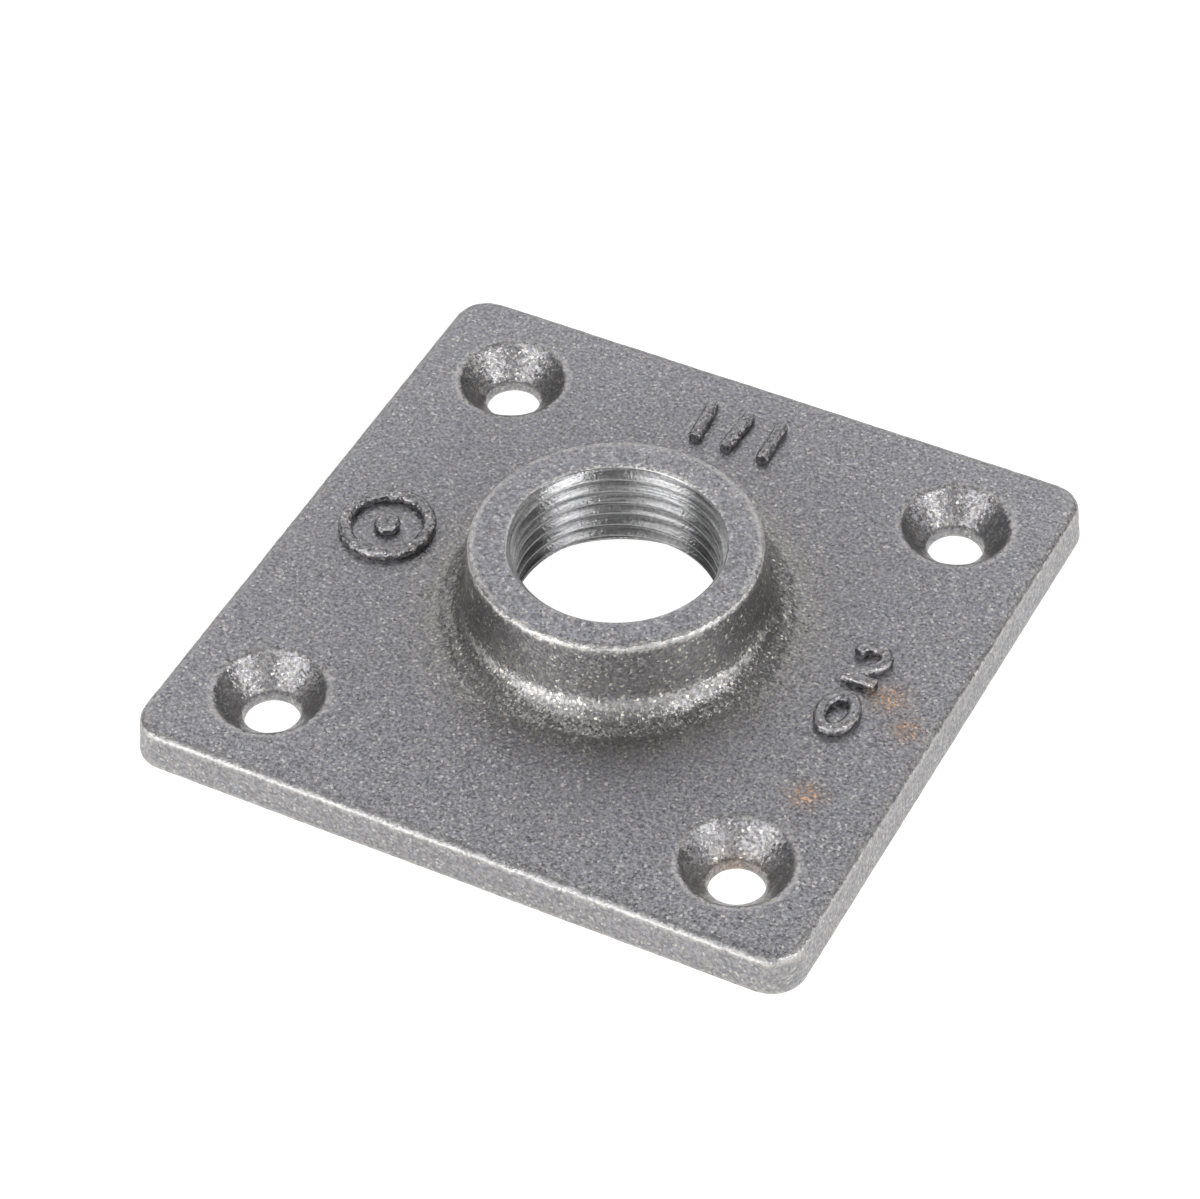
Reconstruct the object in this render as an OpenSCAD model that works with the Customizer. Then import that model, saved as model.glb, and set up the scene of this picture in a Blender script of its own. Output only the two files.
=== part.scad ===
// Square floor flange cast in one piece: a drafted plate with four countersunk
// screw holes, and a stepped hub with a bore for a female pipe thread.
// The underside lies on z = 0, and the bore runs along +Z through the origin.

/* [Plate] */
// Side of the square plate across its underside
plate_w = 84.8; // [76:0.2:130]
// Thickness of the plate
plate_t = 5; // [3.5:0.25:8]
// Corner radius at the underside
corner_r = 4.2; // [3:0.2:12]
// Draft of the sides, in degrees
side_draft = 3.5; // [0:0.5:6]
// Rounding along the top edge
edge_r = 0.8; // [0.3:0.1:1.5]

/* [Hub] */
// Height of the hub's end face above the underside
hub_h = 15.3; // [13:0.1:30]
// Radius of the hub at its end face, before the edge is rounded
hub_r = 17.5; // [15.5:0.1:18.5]
// Draft of the hub's wall, in degrees
hub_draft = 3.5; // [0:0.5:5]
// Rounding round the end face
hub_edge_r = 0.6; // [0.2:0.1:1.2]
// Radius of the low step at the hub's foot
foot_r = 21.1; // [20:0.1:25]
// Height of that step above the plate
step_h = 0.6; // [0.5:0.05:2]
// Hollow rounding between the hub's wall and the step, if the step is wide enough for it
throat_r = 2.8; // [0.5:0.1:6]
// Rounding on the edge of the step
shoulder_r = 0.3; // [0.1:0.05:0.35]
// Hollow rounding where the step meets the plate
foot_fillet_r = 0.1; // [0.05:0.05:0.15]

/* [Bore] */
// Radius of the thread's crests, which is the wall of the bore
thread_crest_r = 12.06; // [9:0.01:13]
// Width and depth of the turned chamfer at the mouth
mouth_chamfer = 0.75; // [0.3:0.05:1.5]
// Height above the underside at which the thread starts
thread_start_h = 4.25; // [3:0.05:7]
// Height of the cone between the underside's recess and the thread
run_in_h = 1.2; // [0.6:0.1:2.8]
// Radius of the cast recess at the underside
recess_r = 16.6; // [13.8:0.1:17.4]
// Draft of the recess, in degrees
recess_draft = 6; // [0:1:10]

/* [Screw holes] */
// Distance between the holes along each side
hole_spacing = 60; // [56:0.5:62]
// Radius of each hole
hole_r = 3.32; // [2:0.02:4]
// Radius of each countersink at the top of the plate
sink_r = 6.74; // [5.5:0.02:8]
// Height of the straight wall below the countersink
land_h = 1.4; // [0.5:0.1:3]

/* [Hidden] */
$fn = 96;
// Steps along each rounded corner of a profile
arc_steps = 6;
// How far each cut runs past the face that it opens
overrun = 1;
// Most of the step's width that the hollow rounding may take
throat_share = 0.98;
iron = "dimgray";

// The plate's sides lean in by this much from the underside to the top
side_lean = plate_t * tan(side_draft);
plate_half = plate_w / 2;
corner_at = plate_half - corner_r;

// The hub's drafted wall meets the top of the step here, before that corner is rounded
shoulder_h = plate_t + step_h;
wall_foot_r = hub_r + (hub_h - shoulder_h) * tan(hub_draft);
throat_room = (foot_r - shoulder_r - wall_foot_r) * tan(45 + hub_draft / 2);
throat_fit_r = min(throat_r, throat_room * throat_share);
skirt_r = foot_r + foot_fillet_r + edge_r;

recess_h = thread_start_h - run_in_h;
recess_lean = tan(recess_draft);
sink_slope = (sink_r - hole_r) / (plate_t - land_h);

function towards(from, to) = (to - from) / norm(to - from);
function turned(v, angle) = [v.x * cos(angle) - v.y * sin(angle), v.x * sin(angle) + v.y * cos(angle)];
function flat(corner) = [corner.x, corner.y];

// Points of one corner p, rounded to radius r between its neighbours a and b
function corner_arc(a, p, b, r) =
    r == 0 ? [p] :
    let (
        u = towards(p, a),
        v = towards(p, b),
        half_angle = acos(u * v) / 2,
        centre = p + (u + v) / norm(u + v) * r / sin(half_angle),
        first = p + u * r / tan(half_angle) - centre,
        last = p + v * r / tan(half_angle) - centre,
        sweep = sign(cross(first, last)) * (180 - 2 * half_angle)
    )
    [for (i = [0:arc_steps]) centre + turned(first, sweep * i / arc_steps)];

// A closed outline from corners that are each [across, up, rounding]
function rounded(corners) =
    let (n = len(corners))
    [for (i = [0:n - 1])
        each corner_arc(
            flat(corners[(i + n - 1) % n]),
            flat(corners[i]),
            flat(corners[(i + 1) % n]),
            corners[i].z
        )
    ];

// One straight run of the plate: its full section, drawn out between the corners
module plate_run() {
    rotate([90, 0, 0])
        linear_extrude(height = 2 * corner_at, center = true)
            polygon(rounded([
                [-plate_half, 0, 0],
                [plate_half, 0, 0],
                [plate_half - side_lean, plate_t, edge_r],
                [side_lean - plate_half, plate_t, edge_r]
            ]));
}

module plate_corner() {
    rotate_extrude()
        polygon(rounded([
            [0, 0, 0],
            [corner_r, 0, 0],
            [corner_r - side_lean, plate_t, edge_r],
            [0, plate_t, 0]
        ]));
}

module plate() {
    for (angle = [0, 90])
        rotate(angle)
            plate_run();
    for (x = [-corner_at, corner_at], y = [-corner_at, corner_at])
        translate([x, y, 0])
            plate_corner();
}

module hub() {
    rotate_extrude()
        polygon(rounded([
            [0, 0, 0],
            [skirt_r, 0, 0],
            [skirt_r, plate_t, 0],
            [foot_r, plate_t, foot_fillet_r],
            [foot_r, shoulder_h, shoulder_r],
            [wall_foot_r, shoulder_h, throat_fit_r],
            [hub_r, hub_h, hub_edge_r],
            [0, hub_h, 0]
        ]));
}

// Everything that is open along the bore: recess, cone, thread and chamfer
module bore() {
    rotate_extrude()
        polygon([
            [0, -overrun],
            [recess_r + overrun * recess_lean, -overrun],
            [recess_r - recess_h * recess_lean, recess_h],
            [thread_crest_r, thread_start_h],
            [thread_crest_r, hub_h - mouth_chamfer],
            [thread_crest_r + mouth_chamfer + overrun, hub_h + overrun],
            [0, hub_h + overrun]
        ]);
}

module screw_hole() {
    rotate_extrude()
        polygon([
            [0, -overrun],
            [hole_r, -overrun],
            [hole_r, land_h],
            [sink_r + overrun * sink_slope, plate_t + overrun],
            [0, plate_t + overrun]
        ]);
}

module floor_flange() {
    color(iron)
        difference() {
            union() {
                plate();
                hub();
            }
            bore();
            for (x = [-1, 1], y = [-1, 1])
                translate([x, y] * hole_spacing / 2)
                    screw_hole();
        }
}

floor_flange();
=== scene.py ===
import math
import bpy
from mathutils import Matrix, Vector


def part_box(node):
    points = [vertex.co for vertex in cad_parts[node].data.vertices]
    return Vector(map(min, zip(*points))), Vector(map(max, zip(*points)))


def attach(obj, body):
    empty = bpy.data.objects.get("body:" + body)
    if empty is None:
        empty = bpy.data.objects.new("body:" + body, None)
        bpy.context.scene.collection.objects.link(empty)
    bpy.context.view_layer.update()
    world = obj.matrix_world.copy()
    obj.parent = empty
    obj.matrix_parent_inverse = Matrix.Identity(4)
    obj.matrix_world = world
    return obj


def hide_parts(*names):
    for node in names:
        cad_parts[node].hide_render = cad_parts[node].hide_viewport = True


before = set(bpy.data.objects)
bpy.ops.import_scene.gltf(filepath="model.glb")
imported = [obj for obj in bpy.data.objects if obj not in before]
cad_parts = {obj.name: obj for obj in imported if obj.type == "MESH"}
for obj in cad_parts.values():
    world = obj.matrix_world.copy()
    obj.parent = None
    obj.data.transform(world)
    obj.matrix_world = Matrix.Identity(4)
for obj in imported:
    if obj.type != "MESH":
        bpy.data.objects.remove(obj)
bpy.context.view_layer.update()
mm = 0.001
lowest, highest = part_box("floor_flange")
plateWidth = highest.x - lowest.x
hubHeight = highest.z
print("frame loaded, plate", round(plateWidth / mm, 2), "mm wide")


def onlyActive(piece):
    if bpy.context.mode != "OBJECT":
        bpy.ops.object.mode_set(mode="OBJECT")
    bpy.ops.object.select_all(action="DESELECT")
    piece.select_set(True)
    bpy.context.view_layer.objects.active = piece


def pick(piece, kind, wanted):  # goes into edit mode with only the wanted faces or edges selected
    onlyActive(piece)
    bpy.ops.object.mode_set(mode="EDIT")
    bpy.ops.mesh.select_mode(type=kind)
    bpy.ops.mesh.select_all(action="DESELECT")
    bpy.ops.object.mode_set(mode="OBJECT")
    places = [vertex.co for vertex in piece.data.vertices]
    for part in piece.data.polygons if kind == "FACE" else piece.data.edges:
        part.select = wanted([places[index] for index in part.vertices])
    bpy.ops.object.mode_set(mode="EDIT")


def nameLast(name):  # the primitive just added, with its place moved into its mesh
    bpy.ops.object.transform_apply(location=True, rotation=True, scale=True)
    piece = bpy.context.object
    piece.name = name
    piece.data.name = name
    return piece


def applyModifier(piece, kind, **settings):
    onlyActive(piece)
    modifier = piece.modifiers.new(kind.lower(), kind)
    for setting, value in settings.items():
        setattr(modifier, setting, value)
    bpy.ops.object.modifier_apply(modifier=modifier.name)


def combine(piece, other, operation):
    applyModifier(piece, "BOOLEAN", object=other, operation=operation, solver="EXACT")
    bpy.data.objects.remove(other, do_unlink=True)


def atHeight(level, slack=0.01 * mm):
    return lambda corners: all(abs(corner.z - level) < slack for corner in corners)


def onCircle(level, radius, slack=0.02 * mm):
    flat = atHeight(level)
    return lambda ends: flat(ends) and all(abs(math.hypot(end.x, end.y) - radius) < slack for end in ends)


# the plate

plate = {
    "thickness": 5 * mm,
    "below": 1 * mm,  # spare depth, trimmed flat at the end
    "cornerRadius": 4.2 * mm,
    "cornerSteps": 12,
    "draft": math.radians(3.5),
    "edgeRadius": 0.7 * mm,
    "edgeSteps": 4,
}


def makePlate():
    depth = plate["thickness"] + plate["below"]
    spread = plateWidth + 2 * plate["below"] * math.tan(plate["draft"])
    bpy.ops.mesh.primitive_cube_add(
        size=1, location=(0, 0, plate["thickness"] - depth / 2), scale=(spread, spread, depth)
    )
    piece = nameLast("floorFlange")
    pick(piece, "EDGE", lambda ends: abs(ends[0].z - ends[1].z) > depth / 2)
    bpy.ops.mesh.bevel(offset=plate["cornerRadius"], segments=plate["cornerSteps"], affect="EDGES")
    pick(piece, "FACE", atHeight(plate["thickness"]))
    topShare = 1 - 2 * depth * math.tan(plate["draft"]) / spread
    bpy.ops.transform.resize(value=(topShare, topShare, 1), center_override=(0, 0, plate["thickness"]))
    bpy.ops.mesh.region_to_loop()
    bpy.ops.mesh.bevel(offset=plate["edgeRadius"], segments=plate["edgeSteps"], affect="EDGES")
    bpy.ops.object.mode_set(mode="OBJECT")
    return piece


# the hub, drawn up from a disc by extruding and scaling its top

hub = {
    "sides": 128,
    "place": (-0.15 * mm, -0.05 * mm),  # the casting's core sat a little off
    "lean": (-0.012, 0.025),  # and the hub leans back a little, per unit of height
    "footRadius": 20.95 * mm,
    "stepHeight": 0.6 * mm,
    "stepRound": 0.6 * mm,
    "wallFoot": 18.1 * mm,
    "hollow": 2.7 * mm,
    "topRadius": 17.35 * mm,
    "edgeRound": 0.5 * mm,
    "roundSteps": 4,
    "hollowSteps": 10,
}


def makeHub():
    level = plate["thickness"]
    shoulder = level + hub["stepHeight"]
    bpy.ops.mesh.primitive_cylinder_add(
        vertices=hub["sides"], radius=hub["footRadius"], depth=shoulder, location=(0, 0, shoulder / 2)
    )
    piece = nameLast("hub")
    pick(piece, "FACE", atHeight(shoulder))
    share = hub["wallFoot"] / hub["footRadius"]
    bpy.ops.mesh.extrude_region()
    bpy.ops.transform.resize(value=(share, share, 1), center_override=(0, 0, shoulder))
    bpy.ops.mesh.extrude_region_move(TRANSFORM_OT_translate={"value": (0, 0, hubHeight - shoulder)})
    share = hub["topRadius"] / hub["wallFoot"]
    bpy.ops.transform.resize(value=(share, share, 1), center_override=(0, 0, hubHeight))
    rounds = (
        (hubHeight, hub["topRadius"], hub["edgeRound"], hub["roundSteps"]),
        (shoulder, hub["wallFoot"], hub["hollow"], hub["hollowSteps"]),
        (shoulder, hub["footRadius"], hub["stepRound"], hub["roundSteps"]),
    )
    for height, radius, size, steps in rounds:
        pick(piece, "EDGE", onCircle(height, radius))
        bpy.ops.mesh.bevel(offset=size, segments=steps, affect="EDGES")
    bpy.ops.object.mode_set(mode="OBJECT")
    (x, y), (leanX, leanY) = hub["place"], hub["lean"]
    piece.data.transform(Matrix((
        (1, 0, leanX, x - leanX * level),
        (0, 1, leanY, y - leanY * level),
        (0, 0, 1, 0),
        (0, 0, 0, 1),
    )))
    return piece


# cuts that were cast in: the countersunk holes and the recess below the thread

screwHole = {
    "spacing": 60 * mm,
    "radius": 3.32 * mm,
    "sinkRadius": 6.74 * mm,
    "landHeight": 1.4 * mm,
    "sides": 64,
}
recess = {
    "radius": 16.6 * mm,
    "draft": math.radians(6),
    "coneHeight": 1.2 * mm,
    "threadStart": 4.25 * mm,
    "mouthInset": 0.5 * mm,  # the cone is cast a little narrower than the thread's crests
    "sides": 128,
}


def makeScrewCutter():
    base = -2 * plate["below"]
    bpy.ops.mesh.primitive_cylinder_add(
        vertices=screwHole["sides"],
        radius=screwHole["radius"],
        depth=screwHole["landHeight"] - base,
        location=(0, 0, (screwHole["landHeight"] + base) / 2),
    )
    piece = nameLast("screwCutter")
    slope = (screwHole["sinkRadius"] - screwHole["radius"]) / (plate["thickness"] - screwHole["landHeight"])
    top = plate["thickness"] + plate["below"]
    share = (screwHole["sinkRadius"] + plate["below"] * slope) / screwHole["radius"]
    pick(piece, "FACE", atHeight(screwHole["landHeight"]))
    bpy.ops.mesh.extrude_region_move(
        TRANSFORM_OT_translate={"value": (0, 0, top - screwHole["landHeight"])}
    )
    bpy.ops.transform.resize(value=(share, share, 1), center_override=(0, 0, top))
    bpy.ops.object.mode_set(mode="OBJECT")
    return piece


def makeRecessCutter(mouthRadius):
    base = -2 * plate["below"]
    roof = recess["threadStart"] - recess["coneHeight"]
    lean = math.tan(recess["draft"])
    bpy.ops.mesh.primitive_cone_add(
        vertices=recess["sides"],
        radius1=recess["radius"] - base * lean,
        radius2=recess["radius"] - roof * lean,
        depth=roof - base,
        location=(0, 0, (roof + base) / 2),
    )
    piece = nameLast("recessCutter")
    share = mouthRadius / (recess["radius"] - roof * lean)
    pick(piece, "FACE", atHeight(roof))
    bpy.ops.mesh.extrude_region_move(TRANSFORM_OT_translate={"value": (0, 0, recess["coneHeight"])})
    bpy.ops.transform.resize(value=(share, share, 1), center_override=(0, 0, recess["threadStart"]))
    bpy.ops.object.mode_set(mode="OBJECT")
    return piece


# raised casting marks: a ring with a pip, three bars, and a plain size number, one digit above the other

marks = {
    "height": 1.15 * mm,
    "strokeRadius": 0.82 * mm,
    "strokeLift": 0.5 * mm,  # a stroke's middle line stands this far above the plate
    "strokeSteps": 4,
    "circleSteps": 40,
    "ringPlace": (-31.0 * mm, -0.1 * mm),
    "ringRadius": 5.1 * mm,
    "pipRadius": 0.8 * mm,
    "barPlace": (-0.4 * mm, 32.9 * mm),
    "barLength": 6.6 * mm,
    "barGap": 4.6 * mm,
    "barTurns": (5, -3, 2),  # degrees, as a pattern cut by hand has them
    "numberPlace": (30.6 * mm, -0.6 * mm),
    "digitWidth": 3.7 * mm,
    "digitHeight": 5.5 * mm,
    "digitStep": 8.6 * mm,
    "voxel": 0.15 * mm,
    "softenSteps": 2,
    "lumps": ((0.8 * mm, 0.3 * mm), (0.36 * mm, 0.2 * mm)),  # size and height
    "digitLumps": 0.5,  # share of that height on the digits, to keep them legible
}
digitTwo = (  # a hook and a foot, in shares of the digit's width and height
    (
        (-0.5, 0.22), (-0.4, 0.40), (-0.2, 0.49), (0.04, 0.5), (0.28, 0.44), (0.44, 0.3),
        (0.44, 0.14), (0.3, -0.04), (0.06, -0.2), (-0.24, -0.36), (-0.5, -0.5),
    ),
    ((-0.56, -0.5), (0.6, -0.5)),
)


def circlePath(place, wide, tall):
    angles = [index * 2 * math.pi / marks["circleSteps"] for index in range(marks["circleSteps"])]
    return [(place[0] + wide * math.cos(angle), place[1] + tall * math.sin(angle)) for angle in angles]


def makeStroke(name, paths, closed, lumpShare=1):  # round ropes along the paths, flat on top and lumpy
    curve = bpy.data.curves.new(name, "CURVE")
    curve.dimensions = "3D"
    curve.bevel_depth = marks["strokeRadius"]
    curve.bevel_resolution = marks["strokeSteps"]
    curve.use_fill_caps = True
    for path in paths:
        line = curve.splines.new("POLY")
        line.points.add(len(path) - 1)
        for point, (x, y) in zip(line.points, path):
            point.co = (x, y, plate["thickness"] + marks["strokeLift"], 1)
        line.use_cyclic_u = closed
    stroke = bpy.data.objects.new(name, curve)
    bpy.context.collection.objects.link(stroke)
    onlyActive(stroke)
    bpy.ops.object.convert(target="MESH")
    stroke = nameLast(name)
    for vertex in stroke.data.vertices:
        vertex.co.z = min(vertex.co.z, plate["thickness"] + marks["height"])
    applyModifier(stroke, "REMESH", mode="VOXEL", voxel_size=marks["voxel"])
    applyModifier(stroke, "SMOOTH", factor=skin["softenShare"], iterations=marks["softenSteps"])
    for index, (size, height) in enumerate(marks["lumps"]):
        pattern = bpy.data.textures.new(name + str(index), "CLOUDS")
        pattern.noise_scale = size
        applyModifier(stroke, "DISPLACE", texture=pattern, strength=height * lumpShare, mid_level=0.5)
    return stroke


def makeMarks():
    ring, pip = (
        circlePath(marks["ringPlace"], radius, radius) for radius in (marks["ringRadius"], marks["pipRadius"])
    )
    pieces = [makeStroke("ringMark", [ring], True), makeStroke("pipMark", [pip], True)]
    middle = Vector(marks["barPlace"])
    for index, turn in enumerate(marks["barTurns"]):
        across = (index - (len(marks["barTurns"]) - 1) / 2) * marks["barGap"]
        lean = math.radians(turn)
        half = Vector((-math.sin(lean), math.cos(lean))) * marks["barLength"] / 2
        place = middle + Vector((across, 0))
        pieces.append(makeStroke("barMark" + str(index + 1), [[place - half, place + half]], False))
    x, y = marks["numberPlace"]
    wide, tall, half = marks["digitWidth"], marks["digitHeight"], marks["digitStep"] / 2
    two = [[(x + wide * u, y + half + tall * v) for u, v in part] for part in digitTwo]
    pieces.append(makeStroke("twoMark", two, False, marks["digitLumps"]))
    nought = circlePath((x, y - half), wide / 2, tall / 2)
    pieces.append(makeStroke("noughtMark", [nought], True, marks["digitLumps"]))
    return pieces


# the turned bore: a plug with a chamfer, and a tooth wound up it, both cut out of the casting

thread = {
    "crestRadius": 12.06 * mm,
    "pitch": 25.4 / 14 * mm,
    "depth": 1.162 * mm,
    "crestShare": 0.1,
    "rootShare": 0.06,
    "firstTurn": 0.96,  # height of the first groove's middle, in pitches
    "mouthChamfer": 0.9 * mm,
    "overlap": 0.15 * mm,
    "plugBelow": 1.5 * mm,  # how far the plug reaches down into the recess
    "overrun": 1 * mm,
    "sides": 144,
}


def makeBorePlug():
    mouth = hubHeight - thread["mouthChamfer"]
    base = recess["threadStart"] - thread["plugBelow"]
    bpy.ops.mesh.primitive_cylinder_add(
        vertices=thread["sides"],
        radius=thread["crestRadius"],
        depth=mouth - base,
        location=(0, 0, (mouth + base) / 2),
    )
    piece = nameLast("borePlug")
    rise = thread["mouthChamfer"] + thread["overrun"]
    share = 1 + rise / thread["crestRadius"]
    pick(piece, "FACE", atHeight(mouth))
    bpy.ops.mesh.extrude_region_move(TRANSFORM_OT_translate={"value": (0, 0, rise)})
    bpy.ops.transform.resize(value=(share, share, 1), center_override=(0, 0, mouth + rise))
    bpy.ops.object.mode_set(mode="OBJECT")
    return piece


def makeThreadTooth():  # its section is drawn at +X, then wound up the bore
    root = thread["crestRadius"] + thread["depth"]
    narrow = thread["rootShare"] * thread["pitch"] / 2
    slope = ((1 - thread["crestShare"]) * thread["pitch"] / 2 - narrow) / thread["depth"]
    wide = narrow + slope * (thread["depth"] + thread["overlap"])
    start = thread["firstTurn"] * thread["pitch"]
    inside = thread["crestRadius"] - thread["overlap"]
    section = ((inside, -wide), (root, -narrow), (root, narrow), (inside, wide))
    bpy.ops.mesh.primitive_circle_add(vertices=len(section), fill_type="NOTHING")
    piece = nameLast("threadTooth")
    for vertex, (out, up) in zip(piece.data.vertices, section):
        vertex.co = (out, 0, start + up)
    turns = math.ceil((hubHeight + thread["overrun"] - start) / thread["pitch"])
    applyModifier(
        piece, "SCREW", axis="Z", angle=2 * math.pi, screw_offset=thread["pitch"], iterations=turns,
        steps=thread["sides"], render_steps=thread["sides"], use_merge_vertices=False
    )
    onlyActive(piece)
    bpy.ops.object.mode_set(mode="EDIT")
    bpy.ops.mesh.select_all(action="SELECT")
    bpy.ops.mesh.fill_holes(sides=len(section))
    bpy.ops.mesh.select_all(action="SELECT")
    bpy.ops.mesh.normals_make_consistent(inside=False)
    bpy.ops.object.mode_set(mode="OBJECT")
    print("thread tooth", turns, "turns,", len(piece.data.polygons), "faces")
    return piece


# one casting: rough shapes joined, softened as cast iron is, then cut by the tools

skin = {
    "voxel": 0.42 * mm,
    "softenShare": 0.5,
    "softenSteps": 3,
    "waveSize": 9 * mm,
    "waveHeight": 0.08 * mm,
    "grainSize": 1.1 * mm,
    "grainHeight": 0.09 * mm,
    "detail": 2,
    "footReach": 2.2 * mm,
    "footSteps": 22,
    "sharpestSmooth": math.radians(35),
}


def softenFoot(piece):  # blends the low step round the hub into the plate
    group = piece.vertex_groups.new(name="foot")
    group.add(
        [
            vertex.index for vertex in piece.data.vertices
            if vertex.co.z > plate["thickness"] - plate["below"]
            and abs((vertex.co.xy - Vector(hub["place"])).length - hub["footRadius"]) < skin["footReach"]
        ],
        1.0,
        "REPLACE",
    )
    applyModifier(
        piece, "SMOOTH", factor=skin["softenShare"], iterations=skin["footSteps"], vertex_group=group.name
    )
    piece.vertex_groups.clear()


def makeFlange():
    flange = makePlate()
    combine(flange, makeHub(), "UNION")
    cutter = makeScrewCutter()
    half = screwHole["spacing"] / 2
    for x in (-half, half):
        for y in (-half, half):
            copy = cutter.copy()
            copy.data = cutter.data.copy()
            bpy.context.collection.objects.link(copy)
            copy.data.transform(Matrix.Translation((x, y, 0)))
            combine(flange, copy, "DIFFERENCE")
    bpy.data.objects.remove(cutter, do_unlink=True)
    combine(flange, makeRecessCutter(thread["crestRadius"] - recess["mouthInset"]), "DIFFERENCE")
    print("rough casting", len(flange.data.polygons), "faces")
    applyModifier(flange, "REMESH", mode="VOXEL", voxel_size=skin["voxel"])
    applyModifier(flange, "SMOOTH", factor=skin["softenShare"], iterations=skin["softenSteps"])
    softenFoot(flange)
    for name, size, height in (
        ("castWaves", skin["waveSize"], skin["waveHeight"]),
        ("castGrains", skin["grainSize"], skin["grainHeight"]),
    ):
        pattern = bpy.data.textures.new(name, "CLOUDS")
        pattern.noise_scale = size
        pattern.noise_depth = skin["detail"]
        applyModifier(flange, "DISPLACE", texture=pattern, strength=height, mid_level=0.5)
    onlyActive(flange)
    bpy.ops.object.mode_set(mode="EDIT")
    bpy.ops.mesh.select_all(action="SELECT")
    bpy.ops.mesh.bisect(
        plane_co=(0, 0, 0), plane_no=(0, 0, 1), clear_inner=True, use_fill=True, threshold=0.001 * mm
    )
    bpy.ops.mesh.select_all(action="SELECT")
    bpy.ops.mesh.normals_make_consistent(inside=False)
    bpy.ops.object.mode_set(mode="OBJECT")
    print("softened casting", len(flange.data.polygons), "faces")
    for mark in makeMarks():
        combine(flange, mark, "UNION")
    return flange


# helpers for material nodes

def plug(group, socket, value):
    if isinstance(value, bpy.types.NodeSocket):
        group.links.new(value, socket)
    else:
        socket.default_value = value


def addNode(group, kind, operation=None, **values):  # in0 is the first socket, From_Min is "From Min"
    node = group.nodes.new(kind)
    if operation:
        node.operation = operation
    for name, value in values.items():
        plug(group, node.inputs[int(name[2:]) if name.startswith("in") else name.replace("_", " ")], value)
    return node


def reckon(group, operation, *values):
    node = addNode(group, "ShaderNodeMath", operation)
    for socket, value in zip(node.inputs, values):
        plug(group, socket, value)
    return node.outputs[0]


def fade(group, value, span, low=0.0, high=1.0):  # from low to high as the value crosses the span
    return addNode(
        group, "ShaderNodeMapRange",
        Value=value, From_Min=span[0], From_Max=span[1], To_Min=low, To_Max=high
    ).outputs["Result"]


def noiseOf(group, place, size, detail=2.0, roughness=0.5):
    return addNode(
        group, "ShaderNodeTexNoise", Vector=place, Scale=1 / size, Detail=detail, Roughness=roughness
    ).outputs["Fac"]


def mixColor(group, factor, first, second, blend="MIX"):
    node = group.nodes.new("ShaderNodeMix")
    node.data_type = "RGBA"
    node.blend_type = blend
    for index, value in ((0, factor), (6, first), (7, second)):
        plug(group, node.inputs[index], value)
    return node.outputs[2]


def placeInMm(group):
    place = addNode(group, "ShaderNodeTexCoord").outputs["Object"]
    return addNode(group, "ShaderNodeVectorMath", "SCALE", in0=place, Scale=1 / mm).outputs[0]


def heightOf(group, place):
    return addNode(group, "ShaderNodeSeparateXYZ", Vector=place).outputs["Z"]


def lengthOf(group, vector):
    return addNode(group, "ShaderNodeVectorMath", "LENGTH", in0=vector).outputs["Value"]


def flatLength(group, vector):  # its length as seen from above
    flat = addNode(group, "ShaderNodeVectorMath", "MULTIPLY", in0=vector, in1=(1, 1, 0)).outputs[0]
    return lengthOf(group, flat)


def alongSide(group, place, side):
    return addNode(group, "ShaderNodeVectorMath", "DOT_PRODUCT", in0=place, in1=side).outputs["Value"]


# materials, with every size, distance and height in mm, and a pair for the two ends of each fade

faceLevel = hubHeight / mm
castIron = {
    "color": (0.368, 0.367, 0.395, 1),
    "pit": (0.214, 0.213, 0.230, 1),
    "grainSize": 0.42,
    "grainSpan": (0.36, 0.64),
    "grainHeight": 0.05,
    "facetSize": 0.28,
    "facetSlope": 0.26,
    "glint": (0.60, 0.59, 0.57, 1),
    "raisedGlint": (0.92, 0.89, 0.82, 1),
    "raisedLevel": (5.3, 5.7),  # the marks and the hub's wall, but not its end face
    "raisedEnd": (faceLevel - 0.4, faceLevel - 0.9),
    "glintSpan": (0.91, 0.98),  # each facet draws a number, and those above the first get a painted glint
    "glintShare": 0.8,
    "coolTint": (0.945, 0.96, 0.99, 1),
    "warmTint": (1.055, 1.03, 0.99, 1),
    "tintSize": 0.6,
    "tintSpan": (0.35, 0.65),
    "smooth": 0.29,
    "rough": 0.40,
}
paintedLightTones = {  # what the skin's colour is multiplied by: painted shade on the plate round the hub, and painted warm light on the hub's wall, the plate's sides and the countersinks
    "plate": 0.83,  # painted shade: the plate is darker round the hub, and clears towards the corners
    "plateReach": (24, 50),
    "plateLevel": (5.8, 7.2),
    # painted warm light on the hub's wall
    "hub": (1.08, 1.06, 0.985, 1),
    "hubReach": (27, 22),
    "hubEnd": (faceLevel - 0.2, faceLevel - 0.8),
    "side": (1.04, 1.03, 0.98, 1),  # painted warm light on the plate's sides and the countersinks
    "sideLevel": (4.8, 4.3),
}
# wear on the edges, which also paints a highlight along the rounded edges
wearAndSheen = {
    "color": (0.50, 0.49, 0.48, 1),
    "edge": (0.505, 0.527),  # pointiness, which is 0.5 on a flat
    "share": 0.9,
    "rough": 0.1,
    "patchSize": 0.7,  # the wear and its painted highlight come and go along an edge
    "patchSpan": (0.38, 0.6),
    "patchLeast": 0.15,
}
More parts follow.
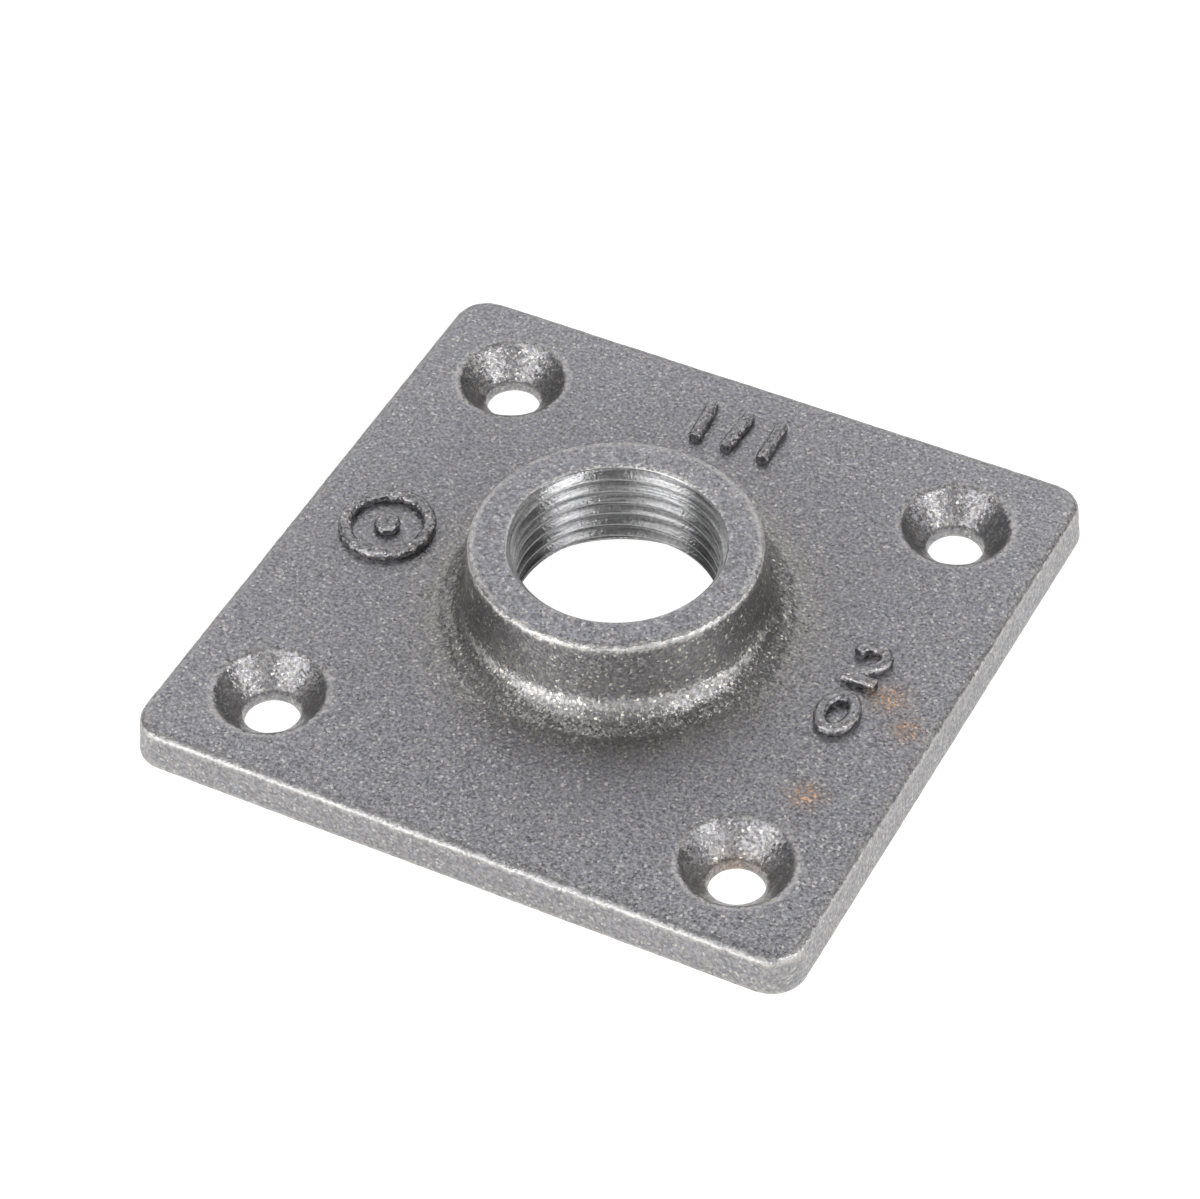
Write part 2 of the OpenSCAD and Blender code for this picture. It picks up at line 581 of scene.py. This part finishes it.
# painted shade: hollows and creases are darkened, as light reaches them less
hollowShade = {
    "color": (0.11, 0.108, 0.106, 1),
    "hollow": (0.478, 0.435),
    "share": 0.35,
    "footShare": 0.4,  # painted shade on the sides of the marks and before the hub's foot
    "footLow": (5.12, 5.3),
    "footHigh": (6.0, 5.8),
    "marksReach": (24.5, 25.5),
    "frontReach": (-12, -19),
}
rimHighlights = {  # bright edges round the hub's face and the countersinks: partly bare wear, mostly a painted highlight
    "hub": {"middle": (-0.27, 0.21), "radius": 17.05, "level": 15.4, "strength": 0.85},
    "sink": {"middle": (30, 30), "radius": 6.85, "level": 4.85, "strength": 0.5},
    "reach": (0.65, 0.15),
    "color": (0.64, 0.63, 0.62, 1),
}
burrGlints = {  # painted glints on the burrs that the tap left round the far side of the bore's mouth, where they catch the light
    "color": (0.86, 0.83, 0.78, 1),
    "reach": (13.7, 12.9),
    "side": (-0.47, 0.88, 0),
    "sideReach": (3.0, 8.0),
    "fleckSize": 0.45,
    "fleckSpan": (0.48, 0.55),
}
rust = {
    "bright": (0.86, 0.50, 0.29, 1),
    "dark": (0.42, 0.22, 0.12, 1),
    "toneSize": 0.6,
    "toneSpan": (0.4, 0.6),
    "stain": (1.05, 0.88, 0.74, 1),
    "stainShare": 0.6,
    "spots": (  # place and reach
        ((34.8, 0.2, 5), 4.2),
        ((38.6, -3.4, 5), 3.6),
        ((32.6, -17.6, 5), 3.8),
        ((29.0, -28.5, 0), 4.6),
    ),
    "core": 0.3,  # share of the reach that is rusted in full
    "gain": 0.4,
    "fleckSize": 0.45,
    "fleckSpan": (0.93, 1.0),
    "strength": 0.85,
    "rough": 0.3,
}
turnedFace = {
    "color": (0.58, 0.58, 0.585, 1),
    "scored": (0.27, 0.27, 0.275, 1),
    "scoredSpan": (0.6, 0.9),
    "lineStretch": (0.12, 0.12, 5),
    "lineHeight": 0.1,
    "gritSize": 0.35,
    "gritShare": 0.5,
    "roughness": 0.34,
    "anisotropy": 0.92,
    "grainTurn": 0.25,
    "deepShade": (0.72, 0.72, 0.72, 1),  # painted shade: the lowest turns are darker
    "deepLevel": (13.5, 4.5),
}


def makeGrainGroup():  # sandy grain, sparse glints and a height, all by place on the casting
    group = bpy.data.node_groups.new("sandGrain", "ShaderNodeTree")
    for name in ("Grain", "Glint", "Height"):
        group.interface.new_socket(name=name, in_out="OUTPUT", socket_type="NodeSocketFloat")
    outputs = group.nodes.new("NodeGroupOutput").inputs
    place = placeInMm(group)
    noise = noiseOf(group, place, castIron["grainSize"], roughness=0.6)
    cell = addNode(group, "ShaderNodeTexVoronoi", Vector=place, Scale=1 / castIron["facetSize"])
    chance = addNode(group, "ShaderNodeSeparateColor", Color=cell.outputs["Color"]).outputs[0]
    inside = addNode(group, "ShaderNodeVectorMath", "SUBTRACT", in0=place, in1=cell.outputs["Position"])
    lean = addNode(
        group, "ShaderNodeVectorMath", "SUBTRACT", in0=cell.outputs["Color"], in1=(0.5, 0.5, 0.5)
    )
    tilt = reckon(
        group, "MULTIPLY", alongSide(group, inside.outputs[0], lean.outputs[0]), castIron["facetSlope"]
    )
    plug(group, outputs["Grain"], fade(group, noise, castIron["grainSpan"]))
    plug(group, outputs["Glint"], fade(group, chance, castIron["glintSpan"], high=castIron["glintShare"]))
    plug(group, outputs["Height"], reckon(group, "MULTIPLY_ADD", noise, castIron["grainHeight"], tilt))
    return group


def makeRaisedMask(tree, place):
    height = heightOf(tree, place)
    over = fade(tree, height, castIron["raisedLevel"])
    return reckon(tree, "MULTIPLY", over, fade(tree, height, castIron["raisedEnd"]))


# painted shade round the hub and painted warm light on the walls, as one colour to multiply by
def makePaintedLightTone(tree, place):
    away = flatLength(tree, place)
    height = heightOf(tree, place)
    shade = fade(tree, away, paintedLightTones["plateReach"], low=paintedLightTones["plate"])
    shade = reckon(tree, "MAXIMUM", shade, fade(tree, height, paintedLightTones["plateLevel"]))
    onHub = reckon(
        tree, "MULTIPLY", fade(tree, height, paintedLightTones["hubEnd"]), fade(tree, away, paintedLightTones["hubReach"])
    )
    tone = mixColor(tree, onHub, (1, 1, 1, 1), paintedLightTones["hub"])
    tone = mixColor(tree, fade(tree, height, paintedLightTones["sideLevel"]), tone, paintedLightTones["side"])
    return mixColor(tree, 1.0, tone, shade, "MULTIPLY")


def makeRustMasks(tree, place):  # flecks within reach of each spot, and a faint stain under them
    near = 0.0
    for spot, reach in rust["spots"]:
        away = addNode(tree, "ShaderNodeVectorMath", "DISTANCE", in0=place, in1=spot).outputs["Value"]
        near = reckon(tree, "MAXIMUM", fade(tree, away, (reach, reach * rust["core"])), near)
    noise = noiseOf(tree, place, rust["fleckSize"], detail=3.0)
    total = reckon(tree, "MULTIPLY_ADD", near, rust["gain"], noise)
    flecks = fade(tree, total, rust["fleckSpan"], high=rust["strength"])
    return flecks, reckon(tree, "MULTIPLY", near, rust["stainShare"])


def makeRimHighlightMask(tree, place, rim):  # how near the surface is to the rim's circle
    offset = addNode(tree, "ShaderNodeVectorMath", "SUBTRACT", in0=place, in1=(*rim["middle"], 0))
    across = reckon(tree, "SUBTRACT", flatLength(tree, offset.outputs[0]), rim["radius"])
    above = reckon(tree, "SUBTRACT", heightOf(tree, place), rim["level"])
    gap = lengthOf(tree, addNode(tree, "ShaderNodeCombineXYZ", X=across, Y=above).outputs[0])
    return fade(tree, gap, rimHighlights["reach"], high=rim["strength"])


# painted shade on the sides of the marks and on the plate before the hub's foot
def makeFootShade(tree, place):
    onMarks = fade(tree, flatLength(tree, place), hollowShade["marksReach"])
    inFront = fade(tree, alongSide(tree, place, burrGlints["side"]), hollowShade["frontReach"])
    height = heightOf(tree, place)
    band = reckon(tree, "MULTIPLY", fade(tree, height, hollowShade["footLow"]), fade(tree, height, hollowShade["footHigh"]))
    band = reckon(tree, "MULTIPLY", band, reckon(tree, "MAXIMUM", onMarks, inFront))
    return reckon(tree, "MULTIPLY", band, hollowShade["footShare"])


def makeBurrGlintMask(tree, place):
    ring = fade(tree, flatLength(tree, place), burrGlints["reach"])
    side = fade(tree, alongSide(tree, place, burrGlints["side"]), burrGlints["sideReach"])
    fleck = fade(tree, noiseOf(tree, place, burrGlints["fleckSize"], detail=1.0), burrGlints["fleckSpan"])
    return reckon(tree, "MULTIPLY", reckon(tree, "MULTIPLY", ring, side), fleck)


def newMaterial(name):
    material = bpy.data.materials.new(name)
    material.use_nodes = True
    return material, material.node_tree


def makeIronSkin():
    material, tree = newMaterial("ironSkin")
    shader = tree.nodes["Principled BSDF"]
    grain = tree.nodes.new("ShaderNodeGroup")
    grain.node_tree = makeGrainGroup()
    place = placeInMm(tree)

    drift = fade(tree, noiseOf(tree, place, castIron["tintSize"], detail=3.0), castIron["tintSpan"])
    tint = mixColor(tree, drift, castIron["coolTint"], castIron["warmTint"])
    patches = noiseOf(tree, place, wearAndSheen["patchSize"], detail=3.0, roughness=0.7)
    patches = fade(tree, patches, wearAndSheen["patchSpan"], low=wearAndSheen["patchLeast"])
    edge = addNode(tree, "ShaderNodeNewGeometry").outputs["Pointiness"]
    wornAndSheen = reckon(tree, "MULTIPLY", fade(tree, edge, wearAndSheen["edge"], high=wearAndSheen["share"]), patches)
    hollowDark = fade(tree, edge, hollowShade["hollow"], high=hollowShade["share"])
    rusty, stained = makeRustMasks(tree, place)

    color = mixColor(tree, grain.outputs["Grain"], castIron["pit"], castIron["color"])
    # painted glints on a few facets, brighter on the marks and the hub's wall
    glint = mixColor(tree, makeRaisedMask(tree, place), castIron["glint"], castIron["raisedGlint"])
    color = mixColor(tree, grain.outputs["Glint"], color, glint)
    # painted shade in hollows and creases, and at the feet of the marks and the hub
    color = mixColor(tree, hollowDark, color, hollowShade["color"])
    color = mixColor(tree, makeFootShade(tree, place), color, hollowShade["color"])
    # edge wear, partly a painted highlight on the rounded edges
    color = mixColor(tree, wornAndSheen, color, wearAndSheen["color"])
    corner = addNode(tree, "ShaderNodeVectorMath", "ABSOLUTE", in0=place).outputs[0]  # one for all four
    # painted highlights along the rims of the hub's face and the countersinks
    for rim, spot in ((rimHighlights["hub"], place), (rimHighlights["sink"], corner)):
        rimLight = reckon(tree, "MULTIPLY", makeRimHighlightMask(tree, spot, rim), patches)
        color = mixColor(tree, rimLight, color, rimHighlights["color"])
    # painted glints on the burrs at the bore's mouth
    color = mixColor(tree, makeBurrGlintMask(tree, place), color, burrGlints["color"])
    color = mixColor(tree, 1.0, color, tint, "MULTIPLY")
    # painted shade and painted warm light
    color = mixColor(tree, 1.0, color, makePaintedLightTone(tree, place), "MULTIPLY")
    color = mixColor(tree, stained, color, rust["stain"], "MULTIPLY")
    rustTone = fade(tree, noiseOf(tree, place, rust["toneSize"]), rust["toneSpan"])
    color = mixColor(tree, rusty, color, mixColor(tree, rustTone, rust["dark"], rust["bright"]))

    rough = fade(tree, grain.outputs["Grain"], (0, 1), low=castIron["rough"], high=castIron["smooth"])
    rough = reckon(tree, "MULTIPLY_ADD", rusty, rust["rough"], rough)
    rough = reckon(tree, "MULTIPLY_ADD", wornAndSheen, wearAndSheen["rough"], rough)
    bump = addNode(tree, "ShaderNodeBump", Height=grain.outputs["Height"], Distance=1 * mm)
    plug(tree, shader.inputs["Base Color"], color)
    plug(tree, shader.inputs["Metallic"], reckon(tree, "SUBTRACT", 1.0, rusty))
    plug(tree, shader.inputs["Roughness"], rough)
    plug(tree, shader.inputs["Normal"], bump.outputs["Normal"])
    return material


def makeTurnedIron():  # scored round the bore by the tap
    material, tree = newMaterial("turnedIron")
    shader = tree.nodes["Principled BSDF"]
    shader.inputs["Metallic"].default_value = 1
    shader.inputs["Roughness"].default_value = turnedFace["roughness"]
    shader.inputs["Anisotropic"].default_value = turnedFace["anisotropy"]
    shader.inputs["Anisotropic Rotation"].default_value = turnedFace["grainTurn"]
    place = placeInMm(tree)
    stretched = addNode(tree, "ShaderNodeMapping", Vector=place, Scale=turnedFace["lineStretch"])
    lines = noiseOf(tree, stretched.outputs["Vector"], 1, detail=3.0)
    grit = noiseOf(tree, place, turnedFace["gritSize"])
    mark = reckon(tree, "MULTIPLY_ADD", grit, turnedFace["gritShare"], lines)
    shade = fade(tree, mark, turnedFace["scoredSpan"])
    color = mixColor(tree, shade, turnedFace["scored"], turnedFace["color"])
    # painted shade, darker towards the bottom of the bore
    deep = fade(tree, heightOf(tree, place), turnedFace["deepLevel"])
    color = mixColor(tree, deep, color, turnedFace["deepShade"], "MULTIPLY")
    bump = addNode(tree, "ShaderNodeBump", Height=mark, Distance=turnedFace["lineHeight"] * mm)
    plug(tree, shader.inputs["Base Color"], color)
    plug(tree, shader.inputs["Normal"], bump.outputs["Normal"])
    return material


ironSkin = makeIronSkin()
turnedIron = makeTurnedIron()
flange = makeFlange()
flange.data.materials.append(ironSkin)
for cutter in (makeBorePlug(), makeThreadTooth()):
    cutter.data.materials.append(turnedIron)
    applyModifier(
        flange, "BOOLEAN", object=cutter, operation="DIFFERENCE", solver="EXACT", material_mode="TRANSFER"
    )
    bpy.data.objects.remove(cutter, do_unlink=True)
onlyActive(flange)
bpy.ops.object.shade_smooth_by_angle(angle=skin["sharpestSmooth"])
print("threaded casting", len(flange.data.polygons), "faces", [slot.name for slot in flange.material_slots])
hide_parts("floor_flange")
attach(flange, "root")

# the camera, level with the photograph's own view

view = {
    "azimuth": math.radians(28.234),
    "elevation": math.radians(44.702),
    "roll": math.radians(-1.589),
    "distance": 541.76 * mm,
    "across": -2.281 * mm,
    "up": 4.389 * mm,
    "focalPixels": 4580.0,
    "photoWidth": 1200,
    "sensor": 36.0,
    "nearest": 10 * mm,
    "farthest": 20.0,
}


def compass(azimuth, elevation):  # unit vector towards a place seen from the object
    flat = math.cos(elevation)
    return Vector((math.sin(azimuth) * flat, -math.cos(azimuth) * flat, math.sin(elevation)))


def makeCamera():
    back = compass(view["azimuth"], view["elevation"])
    right = Vector((0, 0, 1)).cross(back).normalized()
    up = back.cross(right)
    turn = Matrix.Rotation(view["roll"], 3, back)
    right, up = turn @ right, turn @ up
    place = back * view["distance"] + right * view["across"] + up * view["up"]
    axes = Matrix((right, up, back)).transposed()
    bpy.ops.object.camera_add(location=place, rotation=axes.to_euler())
    camera = bpy.context.object
    camera.data.sensor_width = view["sensor"]
    camera.data.lens = view["sensor"] * view["focalPixels"] / view["photoWidth"]
    camera.data.clip_start = view["nearest"]
    camera.data.clip_end = view["farthest"]
    bpy.context.scene.camera = camera


makeCamera()

# floor, world and lamps

bpy.context.scene.view_settings.view_transform = "Standard"

studio = {
    "floorSize": 6.0,
    "floorGap": 0.05 * mm,  # keeps the floor clear of the underside
    "floorPale": (0.85, 0.85, 0.85, 1),
    "floorGlow": 0.95,
    "floorShade": (0.25, 0.25, 0.25, 1),
    "skyLevel": 0.06,
    "skyLine": (0.0, 0.06),  # white at the horizon, dim from a little above it
    "boxDistance": 1.0,
}
softboxes = (  # turn from the camera, elevation, and the width and height that each fills, in degrees
    {"name": "leftWindow", "turn": -45, "elevation": 20, "spread": (54, 44), "radiance": 2.65},
    {"name": "leftTall", "turn": -60, "elevation": 60, "spread": (26, 44), "radiance": 2.2},
    {"name": "leftLow", "turn": -75, "elevation": 10, "spread": (54, 24), "radiance": 1.5},
    {"name": "frontWide", "turn": 27, "elevation": 22, "spread": (84, 44), "radiance": 1.3},
    {"name": "rightLow", "turn": 75, "elevation": 10, "spread": (54, 24), "radiance": 1.9},
    {"name": "rightHigh", "turn": 60, "elevation": 50, "spread": (26, 26), "radiance": 4.6},
    {"name": "backWide", "turn": 180, "elevation": 40, "spread": (84, 44), "radiance": 1.2},
)


def mixShader(tree, factor, first, second):
    return addNode(tree, "ShaderNodeMixShader", in0=factor, in1=first, in2=second).outputs[0]


def makeFloor():  # white to the camera and to iron that mirrors it, but it keeps the object's shadow
    bpy.ops.mesh.primitive_plane_add(size=studio["floorSize"], location=(0, 0, -studio["floorGap"]))
    floor = nameLast("floor")
    material, tree = newMaterial("whiteFloor")
    tree.nodes.remove(tree.nodes["Principled BSDF"])
    path = addNode(tree, "ShaderNodeLightPath").outputs
    shown = reckon(tree, "MAXIMUM", path["Is Camera Ray"], path["Is Glossy Ray"])
    plain = addNode(tree, "ShaderNodeBsdfDiffuse", Color=studio["floorPale"]).outputs[0]
    shaded = addNode(tree, "ShaderNodeBsdfDiffuse", Color=studio["floorShade"]).outputs[0]
    glow = addNode(tree, "ShaderNodeEmission", Strength=studio["floorGlow"]).outputs[0]
    lit = addNode(tree, "ShaderNodeAddShader", in0=shaded, in1=glow).outputs[0]
    clear = addNode(tree, "ShaderNodeBsdfTransparent").outputs[0]
    below = addNode(tree, "ShaderNodeNewGeometry").outputs["Backfacing"]  # there the underside shows
    surface = mixShader(tree, below, mixShader(tree, shown, plain, lit), clear)
    plug(tree, tree.nodes["Material Output"].inputs["Surface"], surface)
    floor.data.materials.append(material)


def makeWorld():
    world = bpy.data.worlds.new("paleStudio")
    bpy.context.scene.world = world
    world.use_nodes = True
    tree = world.node_tree
    background = tree.nodes["Background"]
    background.inputs["Color"].default_value = (1, 1, 1, 1)
    direction = addNode(tree, "ShaderNodeTexCoord").outputs["Generated"]
    sky = fade(tree, heightOf(tree, direction), studio["skyLine"], low=1.0, high=studio["skyLevel"])
    seen = addNode(tree, "ShaderNodeLightPath").outputs["Is Camera Ray"]
    shown = addNode(tree, "ShaderNodeMix", in0=seen, in2=sky, in3=1.0)  # white to the camera
    plug(tree, background.inputs["Strength"], shown.outputs[0])


def makeLamps():
    for box in softboxes:
        towards = compass(view["azimuth"] + math.radians(box["turn"]), math.radians(box["elevation"]))
        bpy.ops.object.light_add(
            type="AREA",
            location=towards * studio["boxDistance"],
            rotation=towards.to_track_quat("Z", "Y").to_euler(),
        )
        lamp = bpy.context.object
        lamp.name = box["name"]
        lamp.visible_camera = False
        wide, tall = (2 * studio["boxDistance"] * math.tan(math.radians(side / 2)) for side in box["spread"])
        lamp.data.shape = "RECTANGLE"
        lamp.data.size = wide
        lamp.data.size_y = tall
        lamp.data.energy = box["radiance"] * math.pi * wide * tall


makeFloor()
makeWorld()
makeLamps()
print("studio ready")
